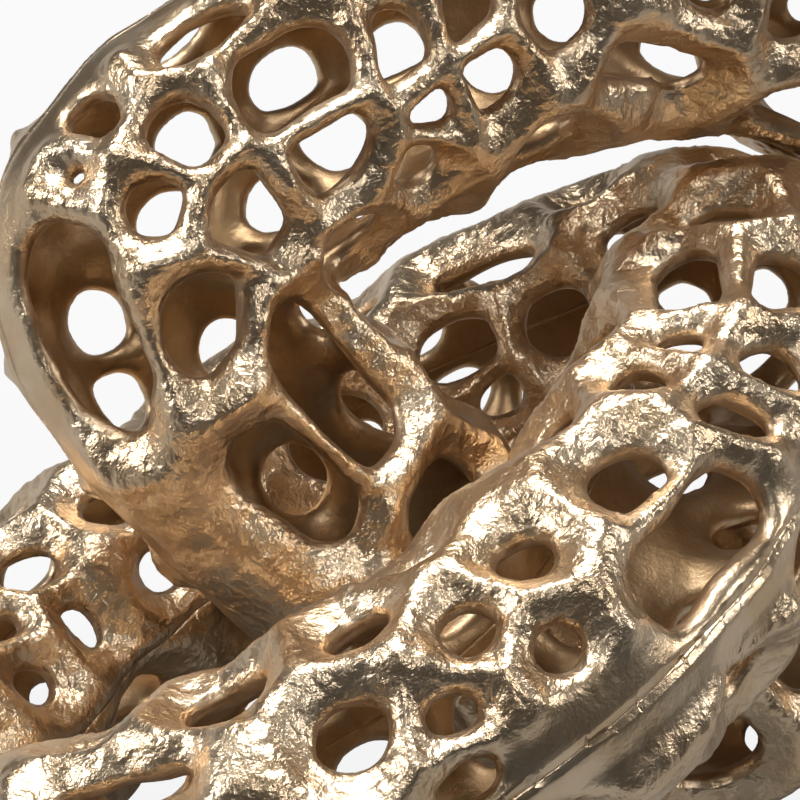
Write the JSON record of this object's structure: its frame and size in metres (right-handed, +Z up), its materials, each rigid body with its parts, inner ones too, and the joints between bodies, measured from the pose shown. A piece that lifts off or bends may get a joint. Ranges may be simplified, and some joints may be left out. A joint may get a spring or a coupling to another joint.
{
  "type": "chain link sculpture",
  "caption": "Ornament of interlocked hollow oval chain links in openwork cast metal, free to tilt in each other.",
  "frame": {"origin": "centre of the bounding box, on the surface that the links lie on", "axes": "+X along the longest way across the pair of links, +Z up"},
  "size_m": [0.25, 0.1994, 0.137],
  "materials": {
    "upper_link_metal": "bronze-toned cast metal with a rough glinting skin and satin weld bands",
    "lower_link_metal": "bronze-toned cast metal with a rough glinting skin and satin weld bands"
  },
  "bodies": {
    "lower_link": {"lower_link_front_half": "lower_link_metal", "lower_link_back_half": "lower_link_metal"},
    "upper_link": {"upper_link_front_half": "upper_link_metal", "upper_link_back_half": "upper_link_metal"}
  },
  "joints": [
    {"name": "upper_link_tilt", "type": "hinge", "parent": "lower_link", "child": "upper_link", "pos_m": [-0.01372, -0.00012, 0.04541], "axis": [0.7844, -0.0372, -0.6192], "range_deg": [0, 65]}
  ]
}
